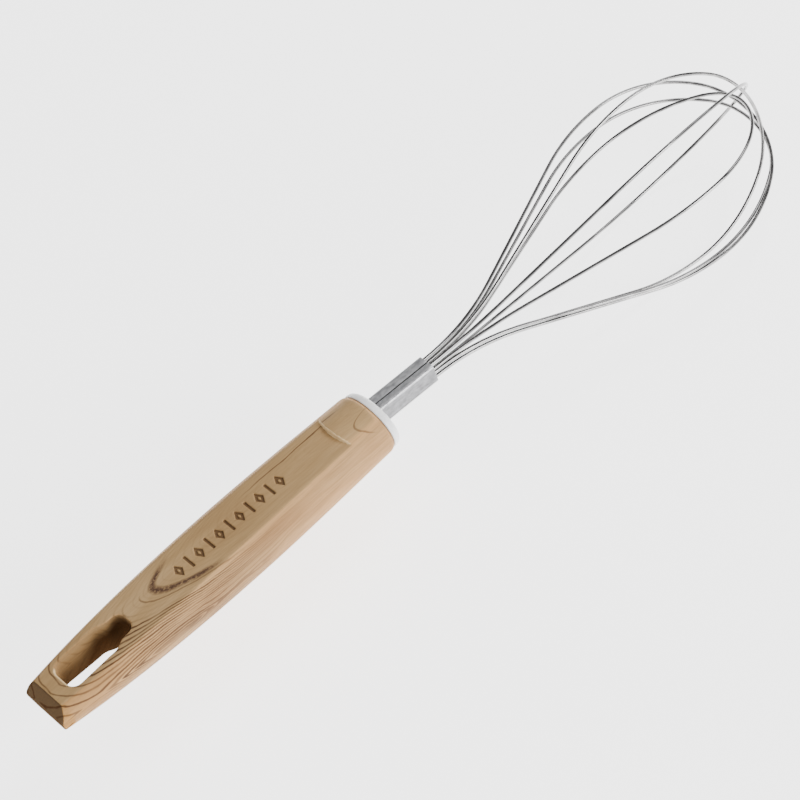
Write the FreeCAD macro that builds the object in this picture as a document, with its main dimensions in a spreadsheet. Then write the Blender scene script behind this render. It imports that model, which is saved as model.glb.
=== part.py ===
import FreeCAD, Part
import math
import os

# Balloon whisk, lying along X with the wire head towards +X and +Z up.
# The origin is the middle of the hanging slot, on the handle's own axis.
# The head (ferrule, wires and what holds them) sits a little off the handle's axis and leans
# to the handle's right (-Y), turning about the collar.

doc = FreeCAD.newDocument("balloon_whisk")
V = FreeCAD.Vector

# ---------------------------------------------------------------- driving sizes (mm, degrees)

SIZES = [
    ("slot_middle_from_butt", 22.0),
    ("handle_length", 132.5),
    ("collar_thickness", 3.3),
    ("facet_half_butt", 5.2),
    ("facet_half_middle", 7.85),
    ("facet_half_front", 7.2),
    ("facet_end", 118.6),
    ("facet_arc_radius", 22.0),
    ("slot_length", 25.8),
    ("slot_width", 11.2),
    ("slot_tip_width", 8.0),
    ("slot_corner", 3.2),
    ("slot_neck_length", 8.6),
    ("slot_tip_reach", 2.2),
    ("slot_pull_wide", 4.0),
    ("slot_pull_tip", 3.4),
    ("heel_run_top", 5.0),
    ("heel_run_bottom", 1.4),
    ("heel_knee_height", 0.4),
    ("mark_depth", 0.5),
    ("mark_height", 5.4),
    ("mark_stroke", 0.9),
    ("mark_length", 3.0),
    ("mark_pitch", 4.1),
    ("mark_first", 56.0),
    ("core_radius", 6.7),
    ("core_length", 36.0),
    ("fit_gap", 0.05),
    ("ferrule_side", 6.9),
    ("ferrule_wall", 0.5),
    ("ferrule_start", 121.0),
    ("ferrule_end", 157.7),
    ("ferrule_corner", 0.8),
    ("seam_width", 0.25),
    ("seam_offset", -0.6),
    ("wedge_side", 3.2),
    ("pin_diameter", 2.4),
    ("pin_from_butt", 126.0),
    ("pin_inset", 2.2),
    ("wire_diameter", 1.15),
    ("wire_start", 130.0),
    ("leg_ring_half", 2.25),
    ("leg_spacing", 36.0),
    ("leg_first", 28.0),
    ("flare_radius", 84.4),
    ("flare_angle", 22.3),
    ("shoulder_radius", 70.1),
    ("head_lean", 3.1),
    ("head_turn", 5.0),
    ("head_left", 0.9),
    ("head_up", 0.85),
]

sheet = doc.addObject("Spreadsheet::Sheet", "sizes")
for row, (name, value) in enumerate(SIZES, start=1):
    sheet.set("A%d" % row, name)
    sheet.set("B%d" % row, str(value))
    sheet.setAlias("B%d" % row, name)
doc.recompute()


def size(name):
    return float(sheet.get(name))


def along(from_butt):
    """X of a point given by its distance from the butt end."""
    return from_butt - size("slot_middle_from_butt")


def bind(obj, **formulas):
    for prop, formula in formulas.items():
        obj.setExpression(prop.replace("__", "."), formula)
    return obj


def head_place():
    """Placement of the head: turned on its own axis, leaned about the collar, then set off."""
    pivot = V(along(size("handle_length")), 0, 0)
    lean = FreeCAD.Rotation(V(0, 0, 1), -size("head_lean"))
    turn = FreeCAD.Rotation(V(1, 0, 0), -size("head_turn"))
    offset = V(0, size("head_left"), size("head_up"))
    about = FreeCAD.Placement(V(0, 0, 0), lean.multiply(turn), pivot)
    return FreeCAD.Placement(offset, FreeCAD.Rotation()).multiply(about)


HEAD_PLACE = head_place()


def feature(name, shape, placement=None):
    obj = doc.addObject("Part::Feature", name)
    obj.Shape = shape
    if placement is not None:
        obj.Placement = placement
    return obj


def box(name, length, width, height, start, placement=None):
    """A box centred on the X axis, from X = start; sizes and start are formulas."""
    obj = doc.addObject("Part::Box", name)
    bind(obj, Length=length, Width=width, Height=height)
    place = FreeCAD.Placement(V(0, 0, 0), FreeCAD.Rotation()) if placement is None else placement
    doc.recompute()
    corner = V(start, -float(obj.Width) / 2, -float(obj.Height) / 2)
    obj.Placement = place.multiply(FreeCAD.Placement(corner, FreeCAD.Rotation()))
    return obj


def cut(name, base, tool):
    obj = doc.addObject("Part::Cut", name)
    obj.Base = base
    obj.Tool = tool
    return obj


def union(name, shapes):
    obj = doc.addObject("Part::MultiFuse", name)
    obj.Shapes = shapes
    return obj


# ---------------------------------------------------------------- handle

# Oval sections of the blank: distance from the butt, half width, half height.
BLANK_SECTIONS = [
    (0.0, 8.9, 6.9),
    (9.0, 10.1, 8.3),
    (26.0, 11.35, 9.55),
    (57.0, 13.2, 10.35),
    (86.0, 13.2, 10.3),
    (112.0, 12.5, 10.1),
    (132.5, 11.8, 9.3),
]


def handle_blank():
    """Barrel of oval sections, with a smooth skin from the butt to the front."""
    sections = []
    for index, (place, half_width, half_height) in enumerate(BLANK_SECTIONS):
        oval = doc.addObject("Part::Ellipse", "oval_%d" % index)
        oval.MajorRadius = half_width
        oval.MinorRadius = half_height
        turn = FreeCAD.Rotation(V(0, 1, 0), V(0, 0, 1), V(1, 0, 0), "ZXY")
        oval.Placement = FreeCAD.Placement(V(along(place), 0, 0), turn)
        sections.append(oval)
    blank = doc.addObject("Part::Loft", "handle_blank")
    blank.Sections = sections
    blank.Solid = True
    blank.Ruled = False
    return blank


def facet_height(place):
    """Half thickness between the flats, on one arc through butt, middle and front."""
    line = Part.LineSegment(V(along(place), 0, -50), V(along(place), 0, 50))
    return [p.Z for p in facet_arc().intersect(line)][0]


def facet_arc():
    """The arc of the upper flat, run on past both ends of the handle."""
    return Part.Arc(
        V(along(-1), 0, size("facet_half_butt")),
        V(along(60), 0, size("facet_half_middle")),
        V(along(size("handle_length") + 10), 0, size("facet_half_front")))


def flat_cutter(side):
    """What is milled off one flat: above the arc, and behind the round-ended collar."""
    top = 20.0
    arc = facet_arc()
    start, end = arc.StartPoint, arc.EndPoint
    wire = Part.Wire([
        arc.toShape(),
        Part.makeLine(end, V(end.x, 0, top)),
        Part.makeLine(V(end.x, 0, top), V(start.x, 0, top)),
        Part.makeLine(V(start.x, 0, top), start)])
    slab = Part.Face(wire).extrude(V(0, 2 * top, 0))
    slab.translate(V(0, -top, 0))
    radius = size("facet_arc_radius")
    middle = along(size("facet_end")) + radius
    kept = Part.makeCylinder(radius, top, V(middle, 0, 0))
    beyond = Part.makeBox(2 * radius, 3 * top, top, V(middle, -1.5 * top, 0))
    shape = slab.cut(kept).cut(beyond)
    if side < 0:
        shape = shape.mirror(V(0, 0, 0), V(0, 0, 1))
    return feature("flat_cutter_top" if side > 0 else "flat_cutter_bottom", shape)


def heel_cutter():
    """Bevel on the butt: the end slopes back over its upper half, and less below."""
    reach = size("facet_half_butt") + 3
    behind = along(-2)
    outline = [
        V(behind, 0, reach),
        V(along(size("heel_run_top")), 0, reach),
        V(along(0), 0, size("heel_knee_height")),
        V(along(size("heel_run_bottom")), 0, -reach),
        V(behind, 0, -reach)]
    face = Part.Face(Part.makePolygon(outline + outline[:1]))
    breadth = 40.0
    shape = face.extrude(V(0, breadth, 0))
    shape.translate(V(0, -breadth / 2, 0))
    return feature("heel_cutter", shape)


def slot_cutter():
    """Hanging slot: straight sides with a rounded butt end, drawn in to a narrower tip."""
    end = size("slot_length") / 2
    wide = size("slot_width") / 2
    tip = size("slot_tip_width") / 2
    corner = size("slot_corner")
    neck = end - size("slot_neck_length")
    reach = end - size("slot_tip_reach")
    round_off = corner * (1 - math.sqrt(0.5))

    def side(sign):
        butt = Part.Arc(
            V(-end, sign * (wide - corner), 0),
            V(-end + round_off, sign * (wide - round_off), 0),
            V(-end + corner, sign * wide, 0))
        drawn_in = Part.BezierCurve()
        drawn_in.setPoles([
            V(neck, sign * wide, 0), V(neck + size("slot_pull_wide"), sign * wide, 0),
            V(neck + size("slot_pull_tip"), sign * tip, 0), V(reach, sign * tip, 0)])
        straight = Part.makeLine(V(-end + corner, sign * wide, 0), V(neck, sign * wide, 0))
        return [butt.toShape(), straight, drawn_in.toShape()]

    round_tip = Part.Arc(V(reach, tip, 0), V(end, 0, 0), V(reach, -tip, 0)).toShape()
    flat_end = Part.makeLine(V(-end, corner - wide, 0), V(-end, wide - corner, 0))
    outline = Part.Wire(Part.__sortEdges__(side(1) + side(-1) + [round_tip, flat_end]))
    depth = 40.0
    shape = Part.Face(outline).extrude(V(0, 0, depth))
    shape.translate(V(0, 0, -depth / 2))
    return feature("slot_cutter", shape)


def diamond(x, reach, half):
    points = [V(x - reach, 0, 0), V(x, half, 0), V(x + reach, 0, 0), V(x, -half, 0)]
    return Part.Face(Part.makePolygon(points + points[:1]))


def mark_cutter():
    """Eleven sunk grip marks on the upper flat: outlined diamonds with a bar between each pair."""
    half = size("mark_height") / 2
    reach = size("mark_length") / 2
    stroke = size("mark_stroke")
    cutters = []
    for index in range(11):
        place = size("mark_first") + index * size("mark_pitch")
        x = along(place)
        if index % 2:
            mark = Part.makePlane(stroke, 2 * half, V(x - stroke / 2, -half, 0))
        else:
            inner = 1 - stroke * math.hypot(1 / reach, 1 / half)
            mark = diamond(x, reach, half).cut(diamond(x, reach * inner, half * inner))
        prism = mark.extrude(V(0, 0, 8 * size("mark_depth")))
        prism.translate(V(0, 0, facet_height(place) - size("mark_depth")))
        cutters.append(prism)
    return feature("mark_cutter", Part.makeCompound(cutters))


def make_handle():
    bore = doc.addObject("Part::Cylinder", "core_bore")
    bind(bore, Radius="sizes.core_radius + sizes.fit_gap", Height="sizes.core_length + 1")
    start = along(size("handle_length") - size("core_length"))
    bore.Placement = FreeCAD.Placement(V(start, 0, 0), FreeCAD.Rotation(V(0, 1, 0), 90))
    shape = handle_blank()
    tools = [flat_cutter(1), flat_cutter(-1), heel_cutter(), slot_cutter(), mark_cutter(), bore]
    for index, tool in enumerate(tools):
        last = index == len(tools) - 1
        shape = cut("handle" if last else "handle_step_%d" % index, shape, tool)
    shape.Label = "handle"
    return shape


# ---------------------------------------------------------------- white core with its collar

def collar_solid():
    """Front disc of the core, the size of the handle's front, with a rounded outer edge."""
    _, half_width, half_height = BLANK_SECTIONS[-1]
    thick = size("collar_thickness")
    ellipse = Part.Ellipse(V(0, 0, 0), half_width, half_height)
    turn = FreeCAD.Rotation(V(0, 1, 0), V(0, 0, 1), V(1, 0, 0), "ZXY")
    face = Part.Face(Part.Wire(ellipse.toShape()))
    face.Placement = FreeCAD.Placement(V(along(size("handle_length")), 0, 0), turn)
    disc = face.extrude(V(thick, 0, 0))
    front = [e for e in disc.Edges if e.BoundBox.XMin > along(size("handle_length")) + thick - 0.01]
    return disc.makeFillet(thick * 0.6, front)


def pin_hole(name, gap):
    hole = doc.addObject("Part::Cylinder", name)
    bind(hole, Radius="sizes.pin_diameter / 2 + %s" % gap, Height="sizes.core_radius * 4")
    side = V(along(size("pin_from_butt")), 2 * size("core_radius"), 0)
    turn = FreeCAD.Rotation(V(1, 0, 0), 90)
    hole.Placement = HEAD_PLACE.multiply(FreeCAD.Placement(side, turn))
    return hole


def make_core():
    rod = doc.addObject("Part::Cylinder", "core_rod")
    bind(rod, Radius="sizes.core_radius", Height="sizes.core_length + 0.5")
    start = along(size("handle_length") - size("core_length"))
    rod.Placement = FreeCAD.Placement(V(start, 0, 0), FreeCAD.Rotation(V(0, 1, 0), 90))
    solid = union("core_solid", [rod, feature("collar_disc", collar_solid())])
    across = "sizes.ferrule_side + 2 * sizes.fit_gap"
    socket = box("ferrule_socket", "sizes.ferrule_end - sizes.ferrule_start", across, across,
                 along(size("ferrule_start")) - 0.2, HEAD_PLACE)
    drilled = cut("core_socketed", solid, socket)
    core = cut("core_collar", drilled, pin_hole("core_pin_hole", "sizes.fit_gap"))
    core.Label = "core_collar"
    return core


# ---------------------------------------------------------------- ferrule, wedge and pin

def make_ferrule():
    """Square sleeve folded from sheet, its edges meeting in a seam along the upper side."""
    length = "sizes.ferrule_end - sizes.ferrule_start"
    start = along(size("ferrule_start"))
    outer = box("ferrule_outer", length, "sizes.ferrule_side", "sizes.ferrule_side", start, HEAD_PLACE)
    doc.recompute()
    rounded = doc.addObject("Part::Fillet", "ferrule_rounded")
    rounded.Base = outer
    long_edges = [i for i, e in enumerate(outer.Shape.Edges, start=1) if e.Length > 20]
    rounded.Edges = [(i, size("ferrule_corner"), size("ferrule_corner")) for i in long_edges]
    inner = box("ferrule_inner", length + " + 2", "sizes.ferrule_side - 2 * sizes.ferrule_wall",
                "sizes.ferrule_side - 2 * sizes.ferrule_wall", start - 1, HEAD_PLACE)
    sleeve = cut("ferrule_sleeve", rounded, inner)
    seam = doc.addObject("Part::Box", "seam_cutter")
    bind(seam, Length=length + " + 2", Width="sizes.seam_width", Height="sizes.ferrule_side")
    corner = V(start - 1, size("seam_offset") - size("seam_width") / 2, 0)
    seam.Placement = HEAD_PLACE.multiply(FreeCAD.Placement(corner, FreeCAD.Rotation()))
    split = cut("ferrule_split", sleeve, seam)
    ferrule = cut("ferrule", split, pin_hole("ferrule_pin_hole", "sizes.fit_gap"))
    ferrule.Label = "ferrule"
    return ferrule


def make_wedge():
    """Square bar down the middle of the ferrule, which presses the wire legs outwards."""
    bar = box("wedge_bar", "sizes.ferrule_end - sizes.ferrule_start - 1.5", "sizes.wedge_side",
              "sizes.wedge_side", along(size("ferrule_start")) + 0.5, HEAD_PLACE)
    wedge = cut("leg_wedge", bar, pin_hole("wedge_pin_hole", "sizes.fit_gap"))
    wedge.Label = "leg_wedge"
    return wedge


def make_pin():
    pin = doc.addObject("Part::Cylinder", "cross_pin")
    bind(pin, Radius="sizes.pin_diameter / 2", Height="2 * (sizes.core_radius - sizes.pin_inset)")
    side = V(along(size("pin_from_butt")), size("core_radius") - size("pin_inset"), 0)
    pin.Placement = HEAD_PLACE.multiply(FreeCAD.Placement(side, FreeCAD.Rotation(V(1, 0, 0), 90)))
    pin.Label = "cross_pin"
    return pin


# ---------------------------------------------------------------- wire loops

# Each loop: its place in the ring of legs, the turn of its plane about the head's axis from +Z
# towards -Y, where its tip is (X from the row's origin, Y, Z, before the head is leaned), its
# half width on either side, and the radius of its round end.
LOOPS = [
    (3, 119.2, (275.1, 3.25, -3.53), (31.13, 31.73), 26.8),
    (2, 113.2, (275.4, 3.17, -8.35), (28.63, 30.15), 21.7),
    (4, 160.5, (273.96, -2.04, 1.37), (30.41, 30.29), 25.7),
    (1, 74.9, (268.36, -0.21, 10.11), (30.2, 29.5), 21.9),
    (0, 36.0, (276.39, 6.27, 1.56), (30.15, 30.47), 27.15),
]


def outwards(azimuth):
    turn = math.radians(azimuth)
    return V(0, -math.sin(turn), math.cos(turn))


def half_loop(slot, azimuth, tip, half_width, dome, sign):
    """Tangent lines and arcs from one leg to the tip: leg, flare, line, shoulder, side, dome."""
    flare = math.radians(size("flare_angle"))
    mouth = V(along(size("ferrule_end")) + 0.5, 0, 0)
    leg_azimuth = size("leg_first") + slot * size("leg_spacing")
    leg_way = outwards(leg_azimuth) * sign
    leg = leg_way * (size("leg_ring_half") / max(abs(leg_way.y), abs(leg_way.z)))
    forward = V(1, 0, 0)

    ahead = (tip - mouth).normalize()
    across = outwards(azimuth)
    across = (across - ahead * across.dot(ahead)).normalize() * sign
    for _ in range(6):
        rise = ahead * math.cos(flare) + across * math.sin(flare)
        bend = rise.getAngle(forward)
        reach = size("flare_radius") * math.tan(bend / 2)
        flare_end = mouth + leg + (forward + rise) * reach
        ahead = tip - flare_end
        ahead = (ahead - across * ahead.dot(across)).normalize()
    rise = ahead * math.cos(flare) + across * math.sin(flare)

    def spot(along_axis, out):
        return tip + ahead * along_axis + across * out

    def on_circle(centre, radius, angle):
        return spot(centre[0] + radius * math.sin(angle), centre[1] + radius * math.cos(angle))

    start = (flare_end - tip).dot(ahead), (flare_end - tip).dot(across)
    shoulder = size("shoulder_radius")
    run = (half_width - start[1] - shoulder * (1 - math.cos(flare))) / math.sin(flare)
    top = start[0] + run * math.cos(flare) + shoulder * math.sin(flare)
    side = ((top + dome) ** 2 + half_width ** 2 - dome ** 2) / (2 * (half_width - dome))
    turn_in = math.atan2(-dome - top, side - half_width)
    shoulder_centre = (top, half_width - shoulder)
    side_centre = (top, half_width - side)
    dome_centre = (-dome, 0.0)

    flare_start = mouth + leg
    sideways = (rise - forward * rise.dot(forward)).normalize()
    flare_mid = flare_start + forward * (size("flare_radius") * math.sin(bend / 2))
    flare_mid = flare_mid + sideways * (size("flare_radius") * (1 - math.cos(bend / 2)))
    line_end = on_circle(shoulder_centre, shoulder, -flare)
    widest = spot(top, half_width)
    side_end = on_circle(side_centre, side, turn_in)
    leg_start = V(along(size("wire_start")), leg.y, leg.z)
    return [
        Part.makeLine(leg_start, flare_start),
        Part.Arc(flare_start, flare_mid, flare_end).toShape(),
        Part.makeLine(flare_end, line_end),
        Part.Arc(line_end, on_circle(shoulder_centre, shoulder, -flare / 2), widest).toShape(),
        Part.Arc(widest, on_circle(side_centre, side, turn_in / 2), side_end).toShape(),
        Part.Arc(side_end, on_circle(dome_centre, dome, (turn_in + math.pi / 2) / 2), tip).toShape()]


def make_loop(number, slot, azimuth, tip, half_widths, dome):
    first = half_loop(slot, azimuth, V(*tip), half_widths[0], dome, 1)
    second = half_loop(slot, azimuth, V(*tip), half_widths[1], dome, -1)
    path = Part.Wire(Part.__sortEdges__(first + second))
    start = first[0].Vertexes[0].Point
    wire = size("wire_diameter") / 2
    section = Part.Wire(Part.makeCircle(wire, start, V(1, 0, 0)))
    solid = path.makePipeShell([section], True, True)
    ideal = math.pi * wire ** 2 * path.Length
    if abs(solid.Volume / ideal - 1) > 0.01:
        raise RuntimeError("loop %d is not one clean sweep" % number)
    name = "wire_loop_%d" % number
    loop = feature(name, solid, HEAD_PLACE)
    loop.Label = name
    return loop


# ---------------------------------------------------------------- build, check and export

parts = [make_handle(), make_core(), make_ferrule(), make_wedge(), make_pin()]
for number, loop in enumerate(LOOPS, start=1):
    parts.append(make_loop(number, *loop))
doc.recompute()

for obj in doc.Objects:
    if "Invalid" in obj.State or "Error" in obj.State:
        raise RuntimeError("failed object: " + obj.Name)
for part in parts:
    if part.Shape.isNull() or not part.Shape.isValid():
        raise RuntimeError("bad shape: " + part.Label)

os.makedirs("parts", exist_ok=True)
for part in parts:
    part.Shape.exportStep("parts/%s.step" % part.Label)
    limits = part.Shape.BoundBox
    print("%-14s solids %d volume %8.1f  X %.1f %.1f  Y %.1f %.1f  Z %.1f %.1f" % (
        part.Label, len(part.Shape.Solids), part.Shape.Volume, limits.XMin, limits.XMax,
        limits.YMin, limits.YMax, limits.ZMin, limits.ZMax))

for i, first in enumerate(parts):
    for second in parts[i + 1:]:
        shared = first.Shape.common(second.Shape).Volume
        if shared > 0.01:
            print("overlap", first.Label, second.Label, round(shared, 3))
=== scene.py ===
import math
from functools import reduce
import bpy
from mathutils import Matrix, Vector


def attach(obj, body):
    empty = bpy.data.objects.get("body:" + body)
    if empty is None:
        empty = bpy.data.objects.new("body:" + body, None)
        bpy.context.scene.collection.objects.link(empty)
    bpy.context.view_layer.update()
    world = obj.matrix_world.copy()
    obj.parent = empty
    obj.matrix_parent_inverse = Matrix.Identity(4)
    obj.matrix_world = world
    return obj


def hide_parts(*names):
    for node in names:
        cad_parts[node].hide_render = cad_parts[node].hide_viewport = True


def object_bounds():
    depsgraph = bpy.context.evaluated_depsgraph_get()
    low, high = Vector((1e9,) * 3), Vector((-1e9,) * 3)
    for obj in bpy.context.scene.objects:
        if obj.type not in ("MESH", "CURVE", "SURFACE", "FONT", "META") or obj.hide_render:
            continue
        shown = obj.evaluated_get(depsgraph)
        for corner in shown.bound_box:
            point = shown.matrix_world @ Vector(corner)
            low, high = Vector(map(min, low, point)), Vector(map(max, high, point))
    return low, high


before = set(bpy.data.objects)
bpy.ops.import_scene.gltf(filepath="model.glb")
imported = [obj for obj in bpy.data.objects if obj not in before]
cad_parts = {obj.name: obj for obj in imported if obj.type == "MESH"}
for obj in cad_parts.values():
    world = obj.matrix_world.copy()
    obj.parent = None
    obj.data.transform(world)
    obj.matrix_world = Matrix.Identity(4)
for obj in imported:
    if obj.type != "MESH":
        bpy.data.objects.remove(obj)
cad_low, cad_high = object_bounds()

from types import SimpleNamespace

import bmesh
import bpy
import numpy as np
from mathutils import Matrix, Vector

# Balloon whisk. Sizes below are millimetres in the row's frame; meshes are made in metres.
MM = 0.001

# Edge of a cell when a mesh is made, and how far apart a field's slope is measured.
MESH_STEP = 0.3
PROBE = 0.01

# Places along the handle, from its butt; the row's origin is the middle of the hanging slot.
BUTT = -22.0
HANDLE_LENGTH = 132.5
FACET_END = 118.6
FACET_ARC_RADIUS = 22.0

# Half thickness between the flats at three places.
FACET_HALF = ((-1.0, 5.2), (60.0, 7.85), (142.5, 7.2))

# Oval sections of the blank: place, half width, half height.
BLANK_SECTIONS = (
    (0.0, 8.9, 6.9), (9.0, 10.1, 8.3), (26.0, 11.35, 9.55), (57.0, 13.2, 10.35),
    (86.0, 13.2, 10.3), (112.0, 12.5, 10.1), (132.5, 11.8, 9.3))

SLOT_HALF_LENGTH = 12.9
SLOT_HALF_WIDTH = 5.6
SLOT_TIP_HALF_WIDTH = 4.0
SLOT_TIP_HALF_LENGTH = 6.0
SLOT_CORNER = 3.2
SLOT_TIP_CORNER = 2.9
SLOT_NECK_LENGTH = 6.4
HEEL_RUN_TOP = 5.0
HEEL_RUN_BOTTOM = 1.4
HEEL_KNEE_HEIGHT = 0.4
HEEL_REACH = 8.2
MARK_DEPTH = 0.5
MARK_HALF_HEIGHT = 2.7
MARK_HALF_LENGTH = 1.5
MARK_STROKE = 0.9
MARK_PITCH = 4.1
MARK_FIRST = 56.0
MARK_COUNT = 11

CORE_RADIUS = 6.75
CORE_LENGTH = 36.0
COLLAR_THICKNESS = 3.3
COLLAR_INSET = 0.35

FERRULE_SIDE = 6.9
FERRULE_WALL = 0.5
FERRULE_CORNER = 0.8
FERRULE_START = 121.0
FERRULE_END = 157.7
SEAM_WIDTH = 0.25
SEAM_OFFSET = -0.6

# The head turns on its own axis, leans about the collar, and is set off to the left and up.
HEAD_LEAN = -math.radians(3.1)
HEAD_TURN = -math.radians(5.0)
HEAD_OFFSET = (0.0, 0.9, 0.85)
HEAD_PIVOT = np.array([BUTT + HANDLE_LENGTH, 0, 0])

WIRES = ["wire_loop_%d" % n for n in range(1, 6)]


# ---------------------------------------------------------------- meshes from a distance field

def surface_cells(values):
    """Cells of a grid that the surface crosses, with one vertex in each, and the quads between."""
    inside = values < 0
    shape = np.array(values.shape) - 1
    total = np.zeros((*shape, 3))
    count = np.zeros(shape)
    corners = [(i, j, k) for i in (0, 1) for j in (0, 1) for k in (0, 1)]

    def corner(grid, c):
        return grid[c[0]:c[0] + shape[0], c[1]:c[1] + shape[1], c[2]:c[2] + shape[2]]

    for a in corners:
        for axis in range(3):
            if a[axis]:
                continue
            b = tuple(v + (n == axis) for n, v in enumerate(a))
            va, vb = corner(values, a), corner(values, b)
            crossed = corner(inside, a) != corner(inside, b)
            share = np.where(crossed, va / np.where(crossed, va - vb, 1), 0)
            for n in range(3):
                total[..., n] += crossed * (a[n] + (share if n == axis else 0))
            count += crossed
    used = count > 0
    index = -np.ones(shape, int)
    index[used] = np.arange(used.sum())
    base = np.stack(np.nonzero(used), -1)
    points = base + total[used] / count[used][:, None]

    quads = []
    for axis in range(3):
        u, v = [n for n in range(3) if n != axis]
        ahead = np.take(inside, range(1, inside.shape[axis]), axis)
        behind = np.take(inside, range(inside.shape[axis] - 1), axis)
        for flips in (False, True):
            at = list(np.nonzero((ahead & ~behind) if flips else (behind & ~ahead)))
            within = (at[u] > 0) & (at[v] > 0) & (at[u] < shape[u]) & (at[v] < shape[v])
            at = [place[within] for place in at]

            def cell(du, dv):
                c = [place.copy() for place in at]
                c[u] += du
                c[v] += dv
                return index[tuple(c)]

            ring = [cell(-1, -1), cell(0, -1), cell(0, 0), cell(-1, 0)]
            if flips == (axis != 1):
                ring.reverse()
            quads.append(np.stack(ring, -1))
    return points, np.concatenate(quads)


def mesh_from_field(name, field, low, high):
    """Closed mesh of the surface where field(x, y, z) is 0, its vertices moved onto it exactly."""
    axes = [np.arange(low[n], high[n] + MESH_STEP, MESH_STEP) for n in range(3)]
    grid = np.meshgrid(*axes, indexing="ij")
    points, quads = surface_cells(field(*grid))
    points = np.array(low) + points * MESH_STEP
    for _ in range(4):
        here = field(*points.T)
        rises = [field(*(points + way).T) - field(*(points - way).T) for way in PROBE * np.eye(3)]
        slope = np.stack(rises, -1) / (2 * PROBE)
        steepness = np.maximum((slope ** 2).sum(-1), 0.2)
        points = points - np.clip(here / steepness, -MESH_STEP / 2, MESH_STEP / 2)[:, None] * slope
    return make_piece(name, (points * MM).tolist(), quads.tolist())


def make_piece(name, points, faces):
    mesh = bpy.data.meshes.new(name)
    mesh.from_pydata(points, [], faces)
    mesh.validate()
    mesh.update()
    mesh.polygons.foreach_set("use_smooth", [True] * len(mesh.polygons))
    piece = bpy.data.objects.new(name, mesh)
    bpy.context.scene.collection.objects.link(piece)
    return piece


def both(a, b, radius):
    """Where both fields are inside, with the edge between them rounded."""
    blend = np.maximum(radius - np.abs(a - b), 0) / radius
    return np.maximum(a, b) + blend * blend * radius / 4


def either(a, b, radius):
    """Where one of the fields is inside, with the corner between them filled."""
    return -both(-a, -b, radius)


def oval(y, z, half_width, half_height):
    """Distance from an ellipse, and the place as a share of the way out to it."""
    reach = np.sqrt((y / half_width) ** 2 + (z / half_height) ** 2)
    slope = np.sqrt((y / half_width ** 2) ** 2 + (z / half_height ** 2) ** 2)
    return (reach - 1) * reach / np.maximum(slope, 1e-3), reach


def box_2d(x, y, centre, half_x, half_y, corner):
    """Distance from a rectangle with rounded corners."""
    dx = np.abs(x - centre[0]) - half_x + corner
    dy = np.abs(y - centre[1]) - half_y + corner
    outside = np.hypot(np.maximum(dx, 0), np.maximum(dy, 0))
    return outside + np.minimum(np.maximum(dx, dy), 0) - corner


# ---------------------------------------------------------------- handle

def blank_half_sizes(place):
    """Half width and half height of the oval blank, on a smooth curve through its sections."""
    stations = np.array(BLANK_SECTIONS)
    widths = np.polyfit(stations[:, 0] / 100, stations[:, 1], 5)
    heights = np.polyfit(stations[:, 0] / 100, stations[:, 2], 5)
    return np.polyval(widths, place / 100), np.polyval(heights, place / 100)


def facet_curve():
    """Half thickness between the flats, as a curve over the distance from the butt."""
    places, halves = zip(*FACET_HALF)
    return np.polyfit(places, halves, 2)


def slot_2d(x, y):
    """Straight slot drawn in to a narrower tip."""
    middle = -BUTT
    half = SLOT_HALF_LENGTH - SLOT_NECK_LENGTH / 2
    wide = box_2d(x, y, (middle - SLOT_NECK_LENGTH / 2, 0), half, SLOT_HALF_WIDTH, SLOT_CORNER)
    tip_middle = (middle + SLOT_HALF_LENGTH - SLOT_TIP_HALF_LENGTH, 0)
    tip = box_2d(x, y, tip_middle, SLOT_TIP_HALF_LENGTH, SLOT_TIP_HALF_WIDTH, SLOT_TIP_CORNER)
    return either(wide, tip, 2.4)


def marks_2d(x, y):
    """A row of outlined diamonds with a bar between each pair."""
    nearest = np.full(x.shape, 9.0)
    for n in range(MARK_COUNT):
        place = MARK_FIRST + n * MARK_PITCH
        if n % 2:
            mark = box_2d(x, y, (place, 0), MARK_STROKE / 2, MARK_HALF_HEIGHT, 0.2)
        else:
            steep = MARK_HALF_HEIGHT / MARK_HALF_LENGTH
            rim = (np.abs(x - place) * steep + np.abs(y) - MARK_HALF_HEIGHT) / math.hypot(steep, 1)
            mark = np.maximum(rim, -rim - MARK_STROKE)
        nearest = np.minimum(nearest, mark)
    return nearest


def plane(x, z, a, b):
    """Distance ahead of the line from a to b, seen from the side."""
    run, rise = b[0] - a[0], b[1] - a[1]
    return ((x - a[0]) * rise - (z - a[1]) * run) / math.hypot(run, rise)


def handle_field(x, y, z):
    x = x - BUTT
    body, _ = oval(y, z, *blank_half_sizes(x))
    thick = np.polyval(facet_curve(), x)
    arc = np.hypot(x - FACET_END - FACET_ARC_RADIUS, y) - FACET_ARC_RADIUS
    flats = both(thick - np.abs(z), -arc, 0.35)
    body = both(body, -flats, 0.4)
    knee = (0.0, HEEL_KNEE_HEIGHT)
    upper = plane(x, z, (HEEL_RUN_TOP, HEEL_REACH), knee)
    lower = plane(x, z, knee, (HEEL_RUN_BOTTOM, -HEEL_REACH))
    body = both(body, both(upper, lower, 0.6), 0.5)
    body = both(body, x - HANDLE_LENGTH, 2.4)
    marks = both(marks_2d(x, y), thick - MARK_DEPTH - z, 0.12)
    body = both(body, -marks, 0.15)
    body = both(body, -slot_2d(x, y), 0.7)
    bore = np.maximum(np.hypot(y, z) - CORE_RADIUS, HANDLE_LENGTH - CORE_LENGTH - x)
    return np.maximum(body, -bore)


def make_handle():
    low = (BUTT - 1.5, -14.5, -11.5)
    high = (BUTT + HANDLE_LENGTH + 1.5, 14.5, 11.5)
    piece = mesh_from_field("handle_moulding", handle_field, low, high)
    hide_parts("handle")
    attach(piece, "root")
    return piece


# ---------------------------------------------------------------- the head's own straight frame

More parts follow.
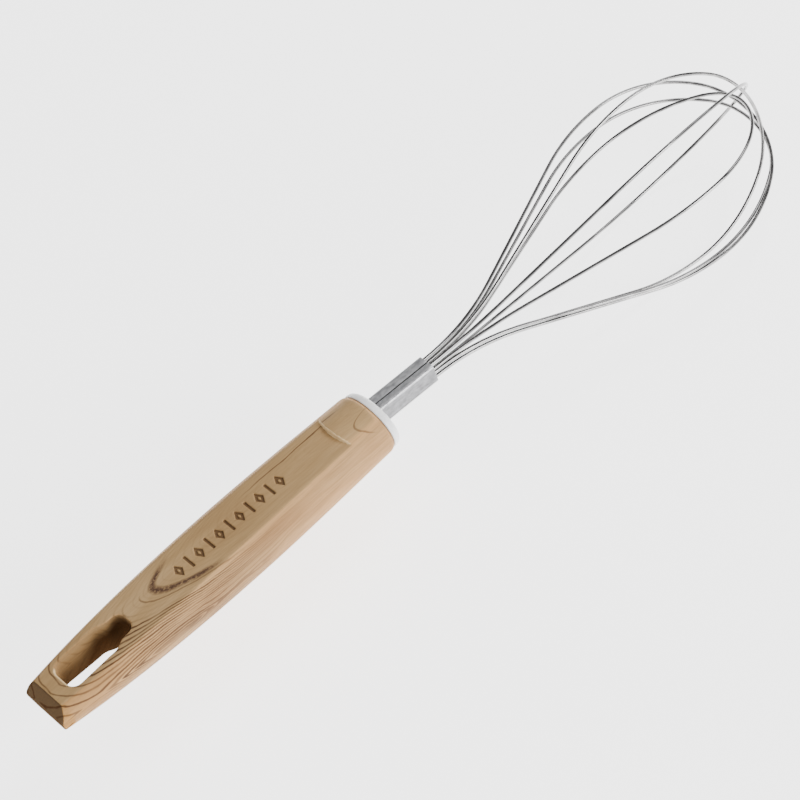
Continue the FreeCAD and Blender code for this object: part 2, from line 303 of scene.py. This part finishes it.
def turn_matrix():
    c, s = math.cos(HEAD_LEAN), math.sin(HEAD_LEAN)
    lean = np.array([[c, -s, 0], [s, c, 0], [0, 0, 1]])
    c, s = math.cos(HEAD_TURN), math.sin(HEAD_TURN)
    return lean @ np.array([[1, 0, 0], [0, c, -s], [0, s, c]])


HEAD_MATRIX = turn_matrix()


def to_head(x, y, z):
    """A point given in the head's own straight frame, placed where the head really sits."""
    return (HEAD_MATRIX @ (np.array([x, y, z]) - HEAD_PIVOT) + HEAD_PIVOT + HEAD_OFFSET) * MM


def head_frame(x, y, z):
    """The same points in the head's own straight frame."""
    shift = HEAD_PIVOT + HEAD_OFFSET
    x, y, z = x - shift[0], y - shift[1], z - shift[2]
    m = HEAD_MATRIX
    return [m[0, n] * x + m[1, n] * y + m[2, n] * z + HEAD_PIVOT[n] for n in range(3)]


# ---------------------------------------------------------------- white collar

def collar_field(x, y, z):
    place = x - BUTT
    _, half_width, half_height = BLANK_SECTIONS[-1]
    disc, reach = oval(y, z, half_width - COLLAR_INSET, half_height - COLLAR_INSET)
    dome = place - HANDLE_LENGTH - COLLAR_THICKNESS + 0.7 * reach ** 2
    disc = both(disc, dome, 2.4)
    disc = np.maximum(disc, HANDLE_LENGTH - 0.2 - place)
    rod = np.hypot(y, z) - CORE_RADIUS + 0.06
    rod_ends = np.maximum(HANDLE_LENGTH - CORE_LENGTH + 0.1 - place, place - HANDLE_LENGTH - 0.5)
    solid = np.minimum(disc, np.maximum(rod, rod_ends))
    hx, hy, hz = head_frame(x, y, z)
    half = FERRULE_SIDE / 2 + 0.04
    socket = box_2d(hy, hz, (0, 0), half, half, FERRULE_CORNER)
    socket = np.maximum(socket, FERRULE_START - 0.2 - (hx - BUTT))
    return both(solid, -socket, 0.35)


def make_collar():
    low = (BUTT + HANDLE_LENGTH - CORE_LENGTH - 1, -12.0, -10.0)
    high = (BUTT + HANDLE_LENGTH + COLLAR_THICKNESS + 1, 12.0, 10.0)
    piece = mesh_from_field("collar_core", collar_field, low, high)
    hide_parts("core_collar")
    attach(piece, "root")
    return piece


# ---------------------------------------------------------------- ferrule

def ferrule_outline():
    """Cross-section of the folded sheet: round the outside from the seam, and back inside."""
    gap_from, gap_to = SEAM_OFFSET - SEAM_WIDTH / 2, SEAM_OFFSET + SEAM_WIDTH / 2

    def around(half, radius):
        points = [(gap_to, half)]
        for n, (cy, cz) in enumerate(((1, 1), (1, -1), (-1, -1), (-1, 1))):
            for k in range(7):
                turn = math.radians(90 - 90 * n - 15 * k)
                y = cy * (half - radius) + radius * math.cos(turn)
                z = cz * (half - radius) + radius * math.sin(turn)
                points.append((y, z))
        points.append((gap_from, half))
        return points

    outer = around(FERRULE_SIDE / 2, FERRULE_CORNER)
    inner = around(FERRULE_SIDE / 2 - FERRULE_WALL, FERRULE_CORNER - FERRULE_WALL)
    return outer + inner[::-1]


def make_ferrule():
    outline = ferrule_outline()
    rows = 24
    points = []
    for n in range(rows + 1):
        x = BUTT + FERRULE_START + (FERRULE_END - FERRULE_START) * n / rows
        points += [to_head(x, y, z).tolist() for y, z in outline]
    size = len(outline)
    faces = []
    for n in range(rows):
        for k in range(size):
            a, b = n * size + k, n * size + (k + 1) % size
            faces.append((a, a + size, b + size, b))
    for n in (0, rows):
        for k in range(size // 2 - 1):
            ring = (k, k + 1, size - 2 - k, size - 1 - k)
            faces.append([n * size + corner for corner in (ring[::-1] if n else ring)])
    piece = make_piece("ferrule_sleeve", points, faces)
    face_outwards(piece.data)
    bevel = piece.modifiers.new("bevel", "BEVEL")
    bevel.width = 0.12 * MM
    bevel.segments = 2
    bevel.limit_method = "ANGLE"
    bevel.angle_limit = math.radians(50)
    apply_modifiers(piece)
    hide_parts("ferrule")
    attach(piece, "root")
    return piece


def face_outwards(mesh):
    work = bmesh.new()
    work.from_mesh(mesh)
    bmesh.ops.recalc_face_normals(work, faces=work.faces)
    work.to_mesh(mesh)
    work.free()


def apply_modifiers(piece):
    graph = bpy.context.evaluated_depsgraph_get()
    made = bpy.data.meshes.new_from_object(piece.evaluated_get(graph))
    piece.modifiers.clear()
    piece.data = made
    made.polygons.foreach_set("use_smooth", [True] * len(made.polygons))


# ---------------------------------------------------------------- materials

class Nodes:
    """Short calls for building one material's node tree."""

    def __init__(self, name):
        self.material = bpy.data.materials.new(name)
        self.material.use_nodes = True
        self.tree = self.material.node_tree
        self.shader = self.tree.nodes["Principled BSDF"]

    def add(self, kind, **values):
        node = self.tree.nodes.new("ShaderNode" + kind)
        for key, value in values.items():
            setattr(node, key, value)
        return node

    def link(self, source, target):
        self.tree.links.new(source, target)

    def set(self, target, value):
        if hasattr(value, "links"):
            self.link(value, target)
        else:
            target.default_value = value

    def shade(self, **values):
        """Sets the shader's inputs, named with _ for a space."""
        for key, value in values.items():
            self.set(self.shader.inputs[key.replace("_", " ")], value)

    def math(self, operation, a, b=0.0, clamp=False):
        node = self.add("Math", operation=operation, use_clamp=clamp)
        self.set(node.inputs[0], a)
        self.set(node.inputs[1], b)
        return node.outputs[0]

    def plus(self, *terms):
        return reduce(lambda a, b: self.math("ADD", a, b), terms)

    def minus(self, a, b):
        return self.math("SUBTRACT", a, b)

    def times(self, *factors):
        return reduce(lambda a, b: self.math("MULTIPLY", a, b), factors)

    def over(self, a, b):
        return self.math("DIVIDE", a, b)

    def most(self, a, b):
        return self.math("MAXIMUM", a, b)

    def size(self, a):
        return self.math("ABSOLUTE", a)

    def root(self, a):
        return self.math("SQRT", a)

    def without(self, mask, share):
        """What is left of 1 where mask takes its share away."""
        return self.minus(1.0, self.times(mask, share))

    def step(self, value, start, end):
        """0 at start, 1 at end, eased between."""
        node = self.add("MapRange", interpolation_type="SMOOTHSTEP")
        self.link(value, node.inputs[0])
        low, high = min(start, end), max(start, end)
        node.inputs[1].default_value, node.inputs[2].default_value = low, high
        node.inputs[3].default_value, node.inputs[4].default_value = (0, 1) if start < end else (1, 0)
        return node.outputs[0]

    def place(self, scale=(1, 1, 1), shift=(0, 0, 0)):
        """Object coordinates in millimetres, scaled and moved."""
        coords = self.add("TexCoord").outputs["Object"]
        mapping = self.add("Mapping")
        mapping.inputs["Scale"].default_value = [s / MM for s in scale]
        mapping.inputs["Location"].default_value = shift
        self.link(coords, mapping.inputs["Vector"])
        return mapping.outputs[0]

    def axes(self, vector):
        split = self.add("SeparateXYZ")
        self.link(vector, split.inputs[0])
        return list(split.outputs)

    def facing(self, kind):
        """Which way the surface faces: Normal or True Normal, by axis."""
        return self.axes(self.add("NewGeometry").outputs[kind])

    def noise(self, scale, shift=(0, 0, 0), detail=3.0, rough=0.5):
        """Noise with so many spots in a millimetre along each axis."""
        node = self.add("TexNoise")
        self.link(self.place(scale, shift), node.inputs["Vector"])
        node.inputs["Scale"].default_value = 1.0
        node.inputs["Detail"].default_value = detail
        node.inputs["Roughness"].default_value = rough
        return node.outputs["Fac"]

    def ramp(self, factor, *stops):
        """Greys or colours run through the stops, each a position and a value."""
        node = self.add("ValToRGB")
        self.link(factor, node.inputs[0])
        elements = node.color_ramp.elements
        while len(elements) < len(stops):
            elements.new(0.5)
        for element, (position, colour) in zip(elements, stops):
            element.position = position
            if not isinstance(colour, tuple):
                colour = (colour, colour, colour)
            element.color = (*colour, 1)
        return node.outputs[0]

    def mix(self, factor, a, b):
        node = self.add("Mix", data_type="RGBA")
        self.set(node.inputs[0], factor)
        for target, value in ((node.inputs[6], a), (node.inputs[7], b)):
            self.set(target, (*value, 1) if isinstance(value, tuple) else value)
        return node.outputs[2]

    def bump(self, height, distance, strength):
        """Fine relief of the surface; distance is in millimetres."""
        node = self.add("Bump")
        self.link(height, node.inputs["Height"])
        node.inputs["Distance"].default_value = distance * MM
        node.inputs["Strength"].default_value = strength
        self.link(node.outputs[0], self.shader.inputs["Normal"])


def srgb(r, g, b):
    return tuple((v / 255 / 12.92) if v <= 10 else ((v / 255 + 0.055) / 1.055) ** 2.4 for v in (r, g, b))


def cover(piece, material):
    piece.data.materials.clear()
    piece.data.materials.append(material)


# ---------------------------------------------------------------- wood print

# Flats and sides are one wood, painted in a shaded copy for the flats and a lit copy for the sides.
FLAT_PAINTED_SHADE_DARK = srgb(172, 138, 94)
FLAT_PAINTED_SHADE_MIDDLE = srgb(184, 150, 104)
FLAT_PAINTED_SHADE_LIGHT = srgb(195, 161, 115)
SIDE_PAINTED_LIT_DARK = srgb(203, 156, 104)
SIDE_PAINTED_LIT_MIDDLE = srgb(213, 168, 115)
SIDE_PAINTED_LIT_LIGHT = srgb(220, 178, 126)
SIDE_LOW = srgb(216, 160, 96)
SIDE_BUTT = srgb(164, 122, 72)
HEEL_PAINTED_SHADE = srgb(90, 73, 54)
WOOD_FIBRE = srgb(128, 94, 58)
WOOD_LINE = srgb(66, 40, 24)
WOOD_SMEAR = srgb(62, 38, 34)
SLOT_PAINTED_SHADE = srgb(44, 20, 6)
WOOD_PAINTED_HIGHLIGHT = srgb(240, 208, 156)

LINE_PITCH = 3.9
LINE_WIDTH = 0.25
RING_FIGURE = 21.8
SMEAR_FIGURE = 27.0
FORK_PLACE = (102.4, -4.4)


def wood_place(n):
    """Where a shaded point lies on the handle, in millimetres, and the masks that follow."""
    at = SimpleNamespace()
    at.x, at.y, at.z = n.axes(n.place())
    at.level = n.size(at.z)
    at.facing_x, _, at.facing_z = n.facing("True Normal")
    at.upper = n.step(at.z, 5.0, 7.0)

    # Two slow wanderings of the grain, and a blunter figure towards the butt.
    at.drift = n.minus(n.noise((0.035, 0.10, 0.10), detail=2.0), 0.5)
    at.ripple = n.minus(n.noise((0.12, 0.5, 0.5), (4, 1, 2)), 0.5)
    at.blunt = n.step(at.x, 2.0, -14.0)

    # Height of the upper flat, and how far under it a place in the slot or in a mark is.
    curve = facet_curve()
    top = -curve[1] / (2 * curve[0])
    arch = n.minus(at.x, float(BUTT + top))
    flat = n.minus(float(np.polyval(curve, top)), n.times(arch, arch, float(-curve[0])))
    at.sunk = n.minus(flat, at.z)

    # The walls of the slot.
    across = n.step(n.size(at.y), SLOT_HALF_WIDTH + 0.7, SLOT_HALF_WIDTH + 0.2)
    along = n.step(n.size(at.x), SLOT_HALF_LENGTH + 0.8, SLOT_HALF_LENGTH + 0.1)
    at.in_slot = n.times(across, along, n.step(n.minus(flat, at.level), 0.1, 0.5))

    # The strip of the upper flat that holds the marks.
    first = BUTT + MARK_FIRST - MARK_HALF_LENGTH
    last = BUTT + MARK_FIRST + (MARK_COUNT - 1) * MARK_PITCH + MARK_HALF_LENGTH
    along = n.times(n.step(at.x, first - 1.0, first - 0.3), n.step(at.x, last + 2.0, last + 1.0))
    across = n.step(n.size(at.y), MARK_HALF_HEIGHT + 0.7, MARK_HALF_HEIGHT + 0.3)
    at.in_marks = n.times(along, across, n.step(at.z, 5.5, 6.0))
    return at


def grain_figure(n, at):
    """The figure that the grain lines follow, and how fast it changes over the surface.

    Each line keeps the same value of x less a share of the distance out, squared. The distance
    runs outwards from the middle of a flat, and on round the side to the middle of the handle.
    """
    off = n.minus(at.y, n.plus(1.6, n.times(at.drift, 1.6)))
    off = n.most(off, n.times(off, 1.3))
    off = n.root(n.plus(n.times(off, off), 0.6))
    off = n.most(n.minus(off, n.times(at.blunt, 2.2)), 0.4)
    down = n.times(n.most(n.minus(7.8, at.level), 0.0), 0.55)
    out = n.plus(off, down, at.ripple)

    underside = n.times(n.step(at.z, 1.5, -1.5), 17.0)
    run = n.plus(at.x, underside, n.times(at.drift, 4.0))
    share = n.plus(0.06, n.times(n.step(at.x, BUTT, 26.0), 0.15), n.times(n.step(at.x, 34.0, 112.0), 0.3))
    figure = n.minus(run, n.times(share, n.times(out, out)))
    figure = n.minus(n.plus(figure, 2.6), n.times(at.blunt, 3.6))
    steep = n.times(share, out, 2.0)
    return figure, n.root(n.plus(n.times(steep, steep), 1.0))


def repeated_lines(n, at, figure, steep):
    """Lines all over the sides; on the flats only round the slot, leaving the middle plain."""
    turns = n.over(figure, LINE_PITCH)
    number = n.math("FLOOR", n.plus(turns, 0.5))
    away = n.times(n.size(n.minus(turns, number)), LINE_PITCH)
    line = n.step(n.over(away, n.times(steep, LINE_WIDTH)), 1.7, 0.35)
    chance = n.add("TexWhiteNoise", noise_dimensions="1D")
    n.link(n.plus(number, 2.6), chance.inputs["W"])
    weight = n.ramp(chance.outputs[0], (0.0, 0.6), (1.0, 1.0))

    patchy = n.ramp(n.noise((0.03, 0.25, 0.25), (7, 3, 1)), (0.3, 0.6), (0.52, 1.0))
    fading = n.without(n.step(at.x, 20.0, 85.0), 0.6)
    middle = n.times(n.step(at.level, 6.7, 7.3), n.step(figure, 9.0, 12.0))
    left = n.times(n.step(at.y, 3.0, 4.6), n.step(at.level, 4.0, 5.5))
    plain = n.most(middle, n.times(left, n.step(at.x, -12.0, -6.0)))
    return n.times(line, weight, patchy, fading, n.without(plain, 0.85), n.without(at.in_slot, 0.75))


def single_lines(n, at, figure, steep):
    """On the upper flat: round the figure's tip, along the left edge, and a fork by the collar."""
    ring = n.over(n.size(n.minus(figure, RING_FIGURE)), steep)
    ring = n.times(n.step(ring, 0.38, 0.12), at.upper, n.step(at.x, 62.0, 40.0), n.step(at.y, 3.5, 1.0))

    wander = n.plus(4.9, n.times(at.ripple, 1.4))
    edge = n.step(n.size(n.minus(at.y, wander)), 0.3, 0.1)
    edge = n.times(edge, at.upper, n.step(at.x, 58.0, 76.0), n.step(at.x, 106.0, 100.0))

    off = n.minus(at.y, FORK_PLACE[1])
    off = n.most(off, n.times(off, 2.4))
    fork = n.minus(n.minus(at.x, FORK_PLACE[0]), n.times(off, off, 0.18))
    fork = n.step(n.size(n.plus(fork, n.times(at.ripple, 1.5))), 0.65, 0.2)
    fork = n.times(fork, at.upper, 0.6)
    return n.most(n.most(n.times(ring, 0.6), n.times(edge, 0.8)), fork)


def tip_smear(n, at, figure, steep):
    """Darker smear just inside the figure's tip."""
    near = n.over(n.minus(figure, SMEAR_FIGURE), n.times(n.root(steep), 2.0))
    near = n.math("SUBTRACT", 1.0, n.times(near, near), clamp=True)
    limit = n.minus(at.x, n.times(n.step(at.y, 3.0, -1.0), 11.0))
    reach = n.times(n.step(limit, 36.0, 28.0), at.upper)
    speck = n.ramp(n.noise((0.9, 1.6, 1.6), (2, 8, 4), 5.0, 0.7), (0.34, 0.3), (0.5, 1.0))
    return n.times(near, reach, speck)


def wood_ground(n, at, fibre):
    """Colour under the lines: painted shade makes the flats duller than the sides, which carry painted light;
    the sides are darker towards the butt, and painted shade darkens the butt's bevel.
    """
    broad = n.noise((0.025, 0.12, 0.12), (3, 5, 2), 2.0)
    flats = n.ramp(broad, (0.32, FLAT_PAINTED_SHADE_DARK), (0.5, FLAT_PAINTED_SHADE_MIDDLE), (0.7, FLAT_PAINTED_SHADE_LIGHT))
    sides = n.ramp(broad, (0.32, SIDE_PAINTED_LIT_DARK), (0.5, SIDE_PAINTED_LIT_MIDDLE), (0.7, SIDE_PAINTED_LIT_LIGHT))
    sides = n.mix(n.times(n.step(at.z, 1.0, -6.0), 0.6), sides, SIDE_LOW)
    sides = n.mix(n.times(n.step(at.x, 30.0, -15.0), 0.75), sides, SIDE_BUTT)
    # Faces turned up or down, the slot and the marks take the flats' painted shade.
    flat_painted_shade_part = n.step(n.size(at.facing_z), 0.86, 0.92)
    flat_painted_shade_part = n.most(flat_painted_shade_part, n.most(at.in_slot, at.in_marks))
    ground = n.mix(flat_painted_shade_part, sides, flats)
    # Painted shade on the butt's bevel, which faces away from the lamps.
    heel_painted_shade = n.times(n.step(at.facing_x, -0.3, -0.45), n.step(at.x, -13.0, -15.0))
    ground = n.mix(heel_painted_shade, ground, HEEL_PAINTED_SHADE)
    return n.mix(n.ramp(fibre, (0.38, 0.0), (0.72, 0.32)), ground, WOOD_FIBRE)


def step_painted_highlight(n, at):
    """Painted highlight on the edge where the flat ends in a round step."""
    step = BUTT + FACET_END
    along = n.times(n.step(at.x, step - 6.6, step - 4.6), n.step(at.x, step + 9.4, step + 7.4))
    return n.times(n.step(at.facing_x, -0.12, -0.35), along, n.step(at.level, 5.6, 6.6), 0.95)


def lip_painted_highlight(n, at):
    """Painted highlight on the lip at the butt end of the slot."""
    end = -SLOT_HALF_LENGTH
    along = n.times(n.step(at.x, end + 1.3, end + 0.6), n.step(at.x, end - 1.0, end - 0.4))
    across = n.times(n.step(n.size(at.y), SLOT_HALF_WIDTH, 4.0), n.step(at.z, 4.0, 5.6))
    return n.times(along, across, n.step(at.facing_x, 0.1, 0.35))


def slot_painted_shade(n, at):
    """Painted shade in the slot, deeper towards its lower side and its tip."""
    depth = n.over(at.sunk, 12.0)
    depth = n.plus(depth, n.times(n.step(at.x, -4.0, 10.0), n.times(depth, 1.2)))
    depth = n.plus(depth, n.times(n.step(at.x, 6.0, 12.0), 0.3))
    return n.times(at.in_slot, n.ramp(depth, (0.0, 0.05), (0.3, 0.4), (0.65, 0.8), (1.0, 0.93)))


def wood_print():
    """Wood grain printed on the moulding: U-shaped figure on the flats, close lines on the sides."""
    n = Nodes("wood_print")
    at = wood_place(n)
    figure, steep = grain_figure(n, at)
    line = n.most(repeated_lines(n, at, figure, steep), single_lines(n, at, figure, steep))
    fibre = n.noise((0.10, 2.4, 2.4), detail=4.0, rough=0.65)
    mark_shade = n.times(n.step(at.sunk, 0.16, 0.4), at.in_marks)
    colour = wood_ground(n, at, fibre)
    # Over the ground: printed grain lines and smear, painted highlight on the step's edge, painted shade in
    # the slot, painted highlight on the slot's butt lip, and painted shade in the sunk marks.
    layers = (
        (n.times(line, 0.9), WOOD_LINE),
        (n.times(tip_smear(n, at, figure, steep), 0.9), WOOD_SMEAR),
        (step_painted_highlight(n, at), WOOD_PAINTED_HIGHLIGHT),
        (slot_painted_shade(n, at), SLOT_PAINTED_SHADE),
        (lip_painted_highlight(n, at), WOOD_PAINTED_HIGHLIGHT),
        (n.times(mark_shade, 0.7), WOOD_LINE))
    for amount, tint in layers:
        colour = n.mix(amount, colour, tint)
    dull = n.most(at.in_slot, n.step(at.x, -17.0, -18.5))
    roughness = n.ramp(fibre, (0.2, 0.46), (0.8, 0.6))
    n.shade(Base_Color=colour, Roughness=roughness, Specular_IOR_Level=n.times(n.minus(1.0, dull), 0.15))
    n.bump(n.plus(fibre, n.times(line, -0.8)), 0.05, 0.5)
    return n.material


# ---------------------------------------------------------------- plastic and steel

def white_plastic():
    n = Nodes("white_plastic")
    broad = n.noise((0.15, 0.15, 0.15), detail=2.0)
    tint = n.ramp(broad, (0.3, srgb(247, 247, 246)), (0.7, srgb(252, 252, 251)))
    grain = n.noise((2.2, 2.2, 2.2))
    n.shade(Base_Color=tint, Roughness=n.ramp(grain, (0.2, 0.28), (0.8, 0.38)))
    n.shade(Subsurface_Weight=0.15, Subsurface_Radius=(0.002, 0.002, 0.002))
    n.bump(grain, 0.02, 0.3)
    return n.material


def head_limits(n, offset):
    """Distance sideways from the seam, and height, in the head's own straight frame."""
    shift = HEAD_PIVOT + HEAD_OFFSET
    outputs = []
    for column, start in ((1, offset), (2, 0.0)):
        way = [float(v) for v in HEAD_MATRIX[:, column]]
        dot = n.add("VectorMath", operation="DOT_PRODUCT")
        n.link(n.place(), dot.inputs[0])
        dot.inputs[1].default_value = way
        outputs.append(n.minus(dot.outputs["Value"], float(np.dot(shift, way)) + start))
    return n.size(outputs[0]), outputs[1]


def ferrule_steel():
    """Rolled sheet: satin, mottled, with faint marks along the rolling direction; its upper face carries
    painted light and its sides painted shade.
    """
    n = Nodes("ferrule_steel")
    mottle = n.noise((0.5, 0.9, 0.9), detail=4.0, rough=0.6)
    lines = n.noise((0.25, 9.0, 9.0))
    # One steel in a lit copy for the upper face and a shaded copy for the sides: painted light and shade.
    top = n.ramp(mottle, (0.3, srgb(156, 156, 159)), (0.7, srgb(212, 212, 214)))
    side = n.ramp(mottle, (0.3, srgb(110, 110, 112)), (0.7, srgb(150, 150, 152)))
    away, height = head_limits(n, SEAM_OFFSET)
    sheet = n.mix(n.step(height, 2.5, 2.8), side, top)
    seam = n.times(n.step(away, 0.34, 0.2), n.step(height, 0.5, 1.0))
    relief = n.plus(lines, mottle)
    roughness = n.ramp(n.times(relief, 0.5), (0.3, 0.34), (0.7, 0.5))
    colour = n.mix(seam, sheet, srgb(18, 18, 19))
    n.shade(Base_Color=colour, Metallic=n.minus(1.0, seam), Roughness=roughness)
    n.bump(relief, 0.03, 0.35)
    return n.material


def polished_wire():
    """Drawn and polished wire: faint drawing lines, a little smearing, and a painted dark reflection on the
    upper side.
    """
    n = Nodes("polished_wire")
    smear = n.noise((0.08, 0.3, 0.3))
    bare = n.ramp(smear, (0.3, srgb(116, 115, 115)), (0.7, srgb(178, 177, 176)))
    _, _, facing_z = n.facing("Normal")
    # Painted dark reflection: faces turned upwards are darkened in the colour.
    upper_painted_dark_reflection = n.times(n.step(facing_z, 0.5, 0.95), 0.6)
    n.shade(Base_Color=n.mix(upper_painted_dark_reflection, bare, srgb(58, 58, 60)), Metallic=1.0)
    n.shade(Roughness=n.ramp(smear, (0.3, 0.10), (0.7, 0.22)))
    n.bump(n.noise((0.12, 6.0, 6.0), detail=2.0), 0.01, 0.3)
    return n.material


def inner_steel():
    n = Nodes("inner_steel")
    scale = n.noise((0.4, 2.0, 2.0), detail=4.0)
    n.shade(Base_Color=n.ramp(scale, (0.3, srgb(120, 120, 122)), (0.7, srgb(160, 160, 161))), Metallic=1.0)
    n.shade(Roughness=n.ramp(scale, (0.3, 0.4), (0.7, 0.6)))
    return n.material


# ---------------------------------------------------------------- stage

FLOOR_REACH = 4.0
FLOOR_GAP = 0.0002
FLOOR_GLOW = 2.8


def make_floor():
    """Pale floor just under the whisk, with a glow of its own."""
    level = cad_low.z - FLOOR_GAP
    corners = [(sx * FLOOR_REACH, sy * FLOOR_REACH, level) for sx, sy in ((-1, -1), (1, -1), (1, 1), (-1, 1))]
    mesh = bpy.data.meshes.new("floor")
    mesh.from_pydata(corners, [], [(0, 1, 2, 3)])
    floor = bpy.data.objects.new("floor", mesh)
    bpy.context.scene.collection.objects.link(floor)
    n = Nodes("floor")
    tone = n.noise((0.004, 0.004, 0.004), detail=2.0)
    n.shade(Base_Color=n.ramp(tone, (0.3, srgb(240, 240, 240)), (0.7, srgb(246, 246, 246))), Roughness=0.9)
    n.shade(Emission_Color=n.ramp(tone, (0.3, 0.97), (0.7, 1.0)), Emission_Strength=FLOOR_GLOW)
    cover(floor, n.material)


def make_world():
    """White towards the horizon, half as bright overhead."""
    world = bpy.data.worlds.new("studio")
    world.use_nodes = True
    tree = world.node_tree
    coords = tree.nodes.new("ShaderNodeTexCoord")
    split = tree.nodes.new("ShaderNodeSeparateXYZ")
    ramp = tree.nodes.new("ShaderNodeValToRGB")
    background = tree.nodes["Background"]
    tree.links.new(coords.outputs["Generated"], split.inputs[0])
    tree.links.new(split.outputs[2], ramp.inputs[0])
    tree.links.new(ramp.outputs[0], background.inputs[0])
    for element, height, tone in zip(ramp.color_ramp.elements, (0.05, 0.4), (1.0, 0.5)):
        element.position = height
        element.color = (tone, tone, tone, 1)
    bpy.context.scene.world = world


def area_light(name, place, width, height, watts):
    data = bpy.data.lights.new(name, "AREA")
    data.shape = "RECTANGLE"
    data.size, data.size_y = width, height
    data.energy = watts
    light = bpy.data.objects.new(name, data)
    bpy.context.scene.collection.objects.link(light)
    middle = Vector((0.128, 0, 0))
    light.location = place
    light.rotation_mode = "QUATERNION"
    light.rotation_quaternion = (middle - Vector(place)).to_track_quat("-Z", "Y")


def make_camera():
    """Camera seen from the handle's right and above, turned so that the whisk lies diagonally."""
    eye = Vector((-151.0, -505.6, 683.3)) * MM
    aim = Vector((122.2, -0.92, -0.68)) * MM
    roll = math.radians(41.6)
    forward = (aim - eye).normalized()
    along = (Vector((1, 0, 0)) - forward * forward.x).normalized()
    across = forward.cross(along)
    right = along * math.cos(roll) + across * math.sin(roll)
    up = along * math.sin(roll) - across * math.cos(roll)
    data = bpy.data.cameras.new("camera")
    data.lens = 131.4
    data.sensor_width = 36.0
    camera = bpy.data.objects.new("camera", data)
    bpy.context.scene.collection.objects.link(camera)
    turn = Matrix((right, up, -forward)).transposed().to_4x4()
    camera.matrix_world = Matrix.Translation(eye) @ turn
    bpy.context.scene.camera = camera


# ---------------------------------------------------------------- the whole scene

make_camera()
make_floor()
make_world()
area_light("key", (0.4, -1.05, 0.5), 0.6, 0.5, 12)
area_light("top", (0.9, 0.1, 0.9), 0.5, 0.5, 6)

cover(make_handle(), wood_print())
cover(make_collar(), white_plastic())
cover(make_ferrule(), ferrule_steel())
wire_material = polished_wire()
for name in WIRES:
    cover(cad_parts[name], wire_material)
steel = inner_steel()
for name in ("leg_wedge", "cross_pin"):
    cover(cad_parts[name], steel)
